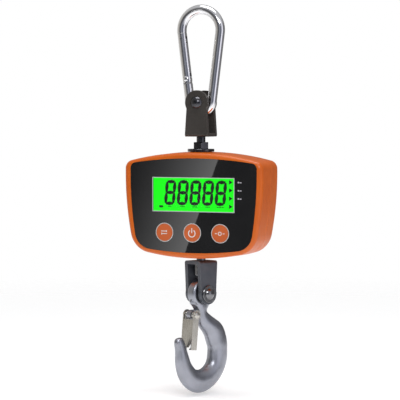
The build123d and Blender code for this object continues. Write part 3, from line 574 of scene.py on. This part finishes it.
def tile_box(x, z, wide, high, thick=INK_THICK, face=GLASS_FACE):
    """A thin rectangular tile with eased corners, on a face towards -Y."""
    tile = start(bpy.ops.mesh.primitive_cube_add, size=1, location=(x, face - thick / 2, z))
    tile.scale = (wide, thick, high)
    settle(tile)
    return use_modifier(tile, "BEVEL", width=min(wide, high) * 0.22, segments=2, affect="EDGES",
                        limit_method="NONE")


pointers = []
for step in range(4):
    spot = (POINTER_X, GLASS_FACE, POINTER_TOP_Z - step * POINTER_PITCH)
    pointers.append(triangle(POINTER_RADIUS, INK_THICK, 1, spot))
place(join(pointers, "display_pointers"), "scale_head", SEGMENT_INK)

MARK_Z = PANE_LOW.z + 3.9 * MM
MARK_HIGH = 0.75 * MM
MARK_WIDTHS = (3.2, 4.6, 4.6, 4.0, 6.4)
cell = tile_box(-31.0 * MM, MARK_Z, 3.6 * MM, 1.9 * MM)
cell_tip = tile_box(-28.9 * MM, MARK_Z, 0.5 * MM, 0.9 * MM)
marks = [cell, cell_tip]
for index, wide in enumerate(MARK_WIDTHS):
    middle = FIRST_DIGIT_X + index * DIGIT_PITCH - 0.5 * MM
    for place_in_mark in (-1, 0, 1):
        offset = place_in_mark * wide * MM / 2.7
        marks.append(tile_box(middle + offset, MARK_Z, wide * MM / 3.6, MARK_HIGH))
place(join(marks, "display_marks"), "scale_head", SEGMENT_INK)

# %% [markdown]
# ## Print on the front panel
#
# A pale line frames the display and a white ring frames each key. Both are printed,
# so they are tiles about a tenth of a millimetre thick or less. The frame is a plane
# whose inset middle is deleted. A ring is a circle whose edge is extruded outwards.

# %% Printed frame and key rings
PANEL_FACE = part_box("front_panel")[0].y
FRAME_LINE = 0.65 * MM
PRINT_FACE = PANEL_FACE - 0.01 * MM
KEY_RING_INNER = 7.95 * MM
KEY_RING_OUTER = 8.45 * MM
KEY_RING_THICK = 0.12 * MM


def printed_frame():
    """A thin rectangular line round the pane."""
    wide = PANE_HIGH.x - PANE_LOW.x + 2 * FRAME_LINE
    high = PANE_HIGH.z - PANE_LOW.z + 2 * FRAME_LINE
    middle = (PANE_HIGH + PANE_LOW) / 2
    piece = start(bpy.ops.mesh.primitive_plane_add, size=1, rotation=(pi / 2, 0, 0))
    piece.scale = (wide, high, 1)
    piece.location = (middle.x, PRINT_FACE, middle.z)
    settle(piece)
    bpy.ops.object.mode_set(mode="EDIT")
    bpy.ops.mesh.select_all(action="SELECT")
    bpy.ops.mesh.inset(thickness=FRAME_LINE, depth=0)
    bpy.ops.mesh.delete(type="FACE")
    thicken(INK_THICK)
    piece.name = "display_frame_print"
    return piece


place(printed_frame(), "scale_head", PALE_INK)


def flat_ring(x, z, inner, outer, face, thick, sides=64):
    """A thin flat ring that faces -Y."""
    ring = start(bpy.ops.mesh.primitive_circle_add, vertices=sides, radius=inner, rotation=(pi / 2, 0, 0),
                 location=(x, face, z))
    settle(ring)
    bpy.ops.object.mode_set(mode="EDIT")
    bpy.ops.mesh.select_all(action="SELECT")
    bpy.ops.mesh.extrude_region_move()
    bpy.ops.transform.resize(value=(outer / inner, 1, outer / inner), center_override=(x, face, z))
    thicken(thick)
    return ring


KEY_BOXES = {name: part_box(name) for name in ("unit_key", "power_key", "tare_key")}
KEY_Z = sum(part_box("power_plunger")[side].z for side in (0, 1)) / 2


def key_middle(name):
    """Where a key's axis is, across the panel."""
    low, high = KEY_BOXES[name]
    return (low.x + high.x) / 2


rings = []
for name in KEY_BOXES:
    x = key_middle(name)
    rings.append(flat_ring(x, KEY_Z, KEY_RING_INNER, KEY_RING_OUTER, PRINT_FACE, KEY_RING_THICK))
place(join(rings, "key_ring_print"), "scale_head", WHITE_INK)

# %% [markdown]
# ## Signs on the keys
#
# The middle key carries the usual power sign: an open ring and a bar. The left key
# gets two opposed arrows, for changing the unit, and the right key a ring between
# two bars, for setting to zero. They ride on their keys, so they travel with them.

# %% Key signs
SIGN_THICK = 0.1 * MM
KEY_FACE = KEY_BOXES["power_key"][0].y - 0.005 * MM


def open_ring(x, z, inner, outer, gap_half_width):
    """A flat ring with a gap at its top."""
    ring = flat_ring(x, z, inner, outer, KEY_FACE, SIGN_THICK)
    bpy.ops.object.mode_set(mode="EDIT")
    choose_verts(ring, lambda co: abs(co.x - x) < gap_half_width and co.z > z)
    bpy.ops.mesh.delete(type="VERT")
    bpy.ops.mesh.select_all(action="SELECT")
    bpy.ops.mesh.select_non_manifold()
    bpy.ops.mesh.fill_holes(sides=0)
    bpy.ops.object.mode_set(mode="OBJECT")
    return ring


def arrow(x, z, facing):
    """A bar with a three-sided head at its right end (1) or left end (-1), point towards the bar."""
    shaft = tile_box(x - facing * 0.6 * MM, z, 4.6 * MM, 0.62 * MM, SIGN_THICK, KEY_FACE)
    head = triangle(1.15 * MM, SIGN_THICK, -facing, (x + facing * 2.1 * MM, KEY_FACE, z))
    return [shaft, head]


middle_x = key_middle("power_key")
power = [
    open_ring(middle_x, KEY_Z - 0.4 * MM, 2.75 * MM, 3.6 * MM, 1.3 * MM),
    tile_box(middle_x, KEY_Z + 2.2 * MM, 0.85 * MM, 4.4 * MM, SIGN_THICK, KEY_FACE),
]
place(join(power, "power_sign"), "power_key", WHITE_INK)

unit_x = key_middle("unit_key")
arrows = arrow(unit_x, KEY_Z + 1.15 * MM, 1) + arrow(unit_x, KEY_Z - 1.15 * MM, -1)
place(join(arrows, "unit_sign"), "unit_key", WHITE_INK)

tare_x = key_middle("tare_key")
zero = [flat_ring(tare_x, KEY_Z, 1.15 * MM, 1.8 * MM, KEY_FACE, SIGN_THICK, 40)]
for side in (-1, 1):
    zero.append(tile_box(tare_x + side * 3.7 * MM, KEY_Z, 1.9 * MM, 0.62 * MM, SIGN_THICK, KEY_FACE))
place(join(zero, "tare_sign"), "tare_key", WHITE_INK)

# %% [markdown]
# ## Marks beside the display
#
# Three short printed bars stand beside the pointers, where a scale names its units.

# %% Unit marks
unit_marks = []
for step in range(3):
    z = POINTER_TOP_Z - step * POINTER_PITCH
    unit_marks.append(tile_box(44.3 * MM, z, 1.5 * MM, 1.3 * MM, INK_THICK, PANEL_FACE))
    unit_marks.append(tile_box(46.4 * MM, z - 0.15 * MM, 1.5 * MM, 0.9 * MM, INK_THICK, PANEL_FACE))
place(join(unit_marks, "unit_marks_print"), "scale_head", PALE_INK)

# %% [markdown]
# ## Studio
#
# The floor is pale and fades out with distance, so no horizon shows. The sky gives
# an even soft light, and is darker towards the front left, where the glossy panel
# looks, so that the panel stays black. One soft box hangs overhead and another stands
# at the front right. A slanted card, which is seen only by reflection, puts the
# diagonal sheen on the panel.

# %% Floor
FLOOR_RADIUS = 3.0
FLOOR_GAP = 0.002
FLOOR_GLOW = 0.34


def pale_floor():
    """A round white floor whose rim fades away."""
    floor = start(bpy.ops.mesh.primitive_circle_add, vertices=64, radius=FLOOR_RADIUS, fill_type="NGON",
                  location=(0, 0, CAD_BOX[0].z - FLOOR_GAP))
    floor.name = "floor"
    material = bpy.data.materials.new("floor")
    material.use_nodes = True
    links = material.node_tree.links
    shader = material.node_tree.nodes["Principled BSDF"]
    shader.inputs["Base Color"].default_value = (0.93, 0.93, 0.93, 1)
    shader.inputs["Roughness"].default_value = 0.6
    shader.inputs["Emission Color"].default_value = (1, 1, 1, 1)
    shader.inputs["Emission Strength"].default_value = FLOOR_GLOW
    coords = add_node(material, "ShaderNodeTexCoord")
    length = add_node(material, "ShaderNodeVectorMath", operation="LENGTH")
    links.new(coords.outputs["Object"], length.inputs[0])
    fade = spread(material, length.outputs["Value"], 1.0, 0.0, 0.25, 1.2)
    links.new(fade, shader.inputs["Alpha"])
    floor.data.materials.append(material)


pale_floor()


# %% Sky
SKY_STRENGTH = 0.95
DOME_LEVEL = (0.55, 0.55, 0.56)
# Angle in degrees from the front, growing towards the right, and the light from there.
SKY_BANDS = (
    (-180, (0.12, 0.12, 0.12)), (-145, (0.16, 0.16, 0.15)), (-120, (0.95, 0.93, 0.90)),
    (-100, (0.62, 0.60, 0.56)), (-50, (0.42, 0.40, 0.37)), (-37, (0.10, 0.10, 0.10)),
    (-10, (0.10, 0.10, 0.11)), (2, (0.26, 0.27, 0.31)), (36, (0.13, 0.14, 0.18)),
    (54, (0.16, 0.17, 0.22)), (64, (1.05, 1.05, 1.15)), (84, (1.05, 1.05, 1.15)),
    (98, (0.18, 0.18, 0.20)), (150, (0.22, 0.21, 0.21)), (180, (0.12, 0.12, 0.12)),
)


def studio_sky():
    """White to the camera; a soft banded light to everything else."""
    world = bpy.data.worlds.new("studio")
    bpy.context.scene.world = world
    world.use_nodes = True
    world.node_tree.nodes.clear()
    links = world.node_tree.links
    coords = add_node(world, "ShaderNodeTexCoord")
    split = add_node(world, "ShaderNodeSeparateXYZ")
    links.new(coords.outputs["Generated"], split.inputs[0])
    flipped = add_node(world, "ShaderNodeMath", operation="MULTIPLY")
    flipped.inputs[1].default_value = -1.0
    links.new(split.outputs["Y"], flipped.inputs[0])
    turn = add_node(world, "ShaderNodeMath", operation="ARCTAN2")
    links.new(split.outputs["X"], turn.inputs[0])
    links.new(flipped.outputs[0], turn.inputs[1])
    bands = add_node(world, "ShaderNodeValToRGB")
    bands.color_ramp.interpolation = "EASE"
    ramp = bands.color_ramp.elements
    while len(ramp) < len(SKY_BANDS):
        ramp.new(0.5)
    for element, (angle, level) in zip(ramp, SKY_BANDS):
        element.position = (angle + 180) / 360
        element.color = (*level, 1)
    links.new(spread(world, turn.outputs[0], 0.0, 1.0, -pi, pi), bands.inputs["Fac"])
    dome = add_node(world, "ShaderNodeMix", data_type="RGBA")
    dome.inputs["B"].default_value = (*DOME_LEVEL, 1)
    links.new(spread(world, split.outputs["Z"], 0.0, 1.0, 0.25, 0.75), dome.inputs["Factor"])
    links.new(bands.outputs["Color"], dome.inputs["A"])
    light = add_node(world, "ShaderNodeBackground")
    light.inputs["Strength"].default_value = SKY_STRENGTH
    links.new(dome.outputs["Result"], light.inputs["Color"])
    white = add_node(world, "ShaderNodeBackground")
    white.inputs["Color"].default_value = (1, 1, 1, 1)
    path = add_node(world, "ShaderNodeLightPath")
    mixed = add_node(world, "ShaderNodeMixShader")
    links.new(path.outputs["Is Camera Ray"], mixed.inputs["Fac"])
    links.new(light.outputs[0], mixed.inputs[1])
    links.new(white.outputs[0], mixed.inputs[2])
    output = add_node(world, "ShaderNodeOutputWorld")
    links.new(mixed.outputs[0], output.inputs["Surface"])


studio_sky()

# %% Lights
def soft_box(name, location, aim, size, power):
    """A rectangular soft light that faces a point and isn't seen itself."""
    data = bpy.data.lights.new(name, "AREA")
    data.shape = "RECTANGLE"
    data.size, data.size_y = size
    data.energy = power
    light = bpy.data.objects.new(name, data)
    bpy.context.scene.collection.objects.link(light)
    light.location = location
    light.rotation_euler = (Vector(location) - Vector(aim)).to_track_quat("Z", "Y").to_euler()
    light.visible_camera = False
    return light


MIDDLE = (0, 0, -0.17)
soft_box("top_box", (0.05, -0.1, 0.9), MIDDLE, (0.7, 0.5), 6.5)
soft_box("front_box", (0.8, -1.5, 0.75), MIDDLE, (0.7, 0.4), 11.0)

# %% Sheen card
CARD_DEPTH = -0.9
CARD_WIDE = 0.16
CARD_GLOW = 2.7
CARD_FALLOFF = 2.2


def sheen_card():
    """A slanted glowing card, seen only by reflection, bright along its right edge."""
    mirrored = Vector((camera.location.x, 2 * PANEL_FACE - camera.location.y, camera.location.z))

    def on_card(x, z):
        """Where the sheen at a place on the panel comes from."""
        ray = Vector((x * MM, PANEL_FACE, z * MM)) - mirrored
        return mirrored + ray * ((CARD_DEPTH - mirrored.y) / ray.y)

    top = on_card(30.0, -116.0)
    bottom = on_card(-12.0, -226.0)
    card = start(bpy.ops.mesh.primitive_plane_add, size=1, rotation=(pi / 2, 0, 0))
    card.name = "sheen_card"
    card.scale = (CARD_WIDE, (top - bottom).z, 1)
    settle(card)
    slant(card, (top.x - bottom.x) / (top.z - bottom.z))
    card.location = (top + bottom) / 2 - Vector((CARD_WIDE / 2, 0, 0))
    material = bpy.data.materials.new("sheen_card")
    material.use_nodes = True
    material.node_tree.nodes.clear()
    links = material.node_tree.links
    glow = add_node(material, "ShaderNodeEmission")
    output = add_node(material, "ShaderNodeOutputMaterial")
    coords = add_node(material, "ShaderNodeTexCoord")
    split = add_node(material, "ShaderNodeSeparateXYZ")
    links.new(coords.outputs["UV"], split.inputs[0])
    steep = add_node(material, "ShaderNodeMath", operation="POWER")
    steep.inputs[1].default_value = CARD_FALLOFF
    links.new(split.outputs["X"], steep.inputs[0])
    strength = spread(material, steep.outputs["Value"], 0.0, CARD_GLOW, 0.0, 1.0)
    links.new(strength, glow.inputs["Strength"])
    links.new(glow.outputs[0], output.inputs["Surface"])
    card.data.materials.append(material)
    card.visible_camera = False
    card.visible_shadow = False


sheen_card()
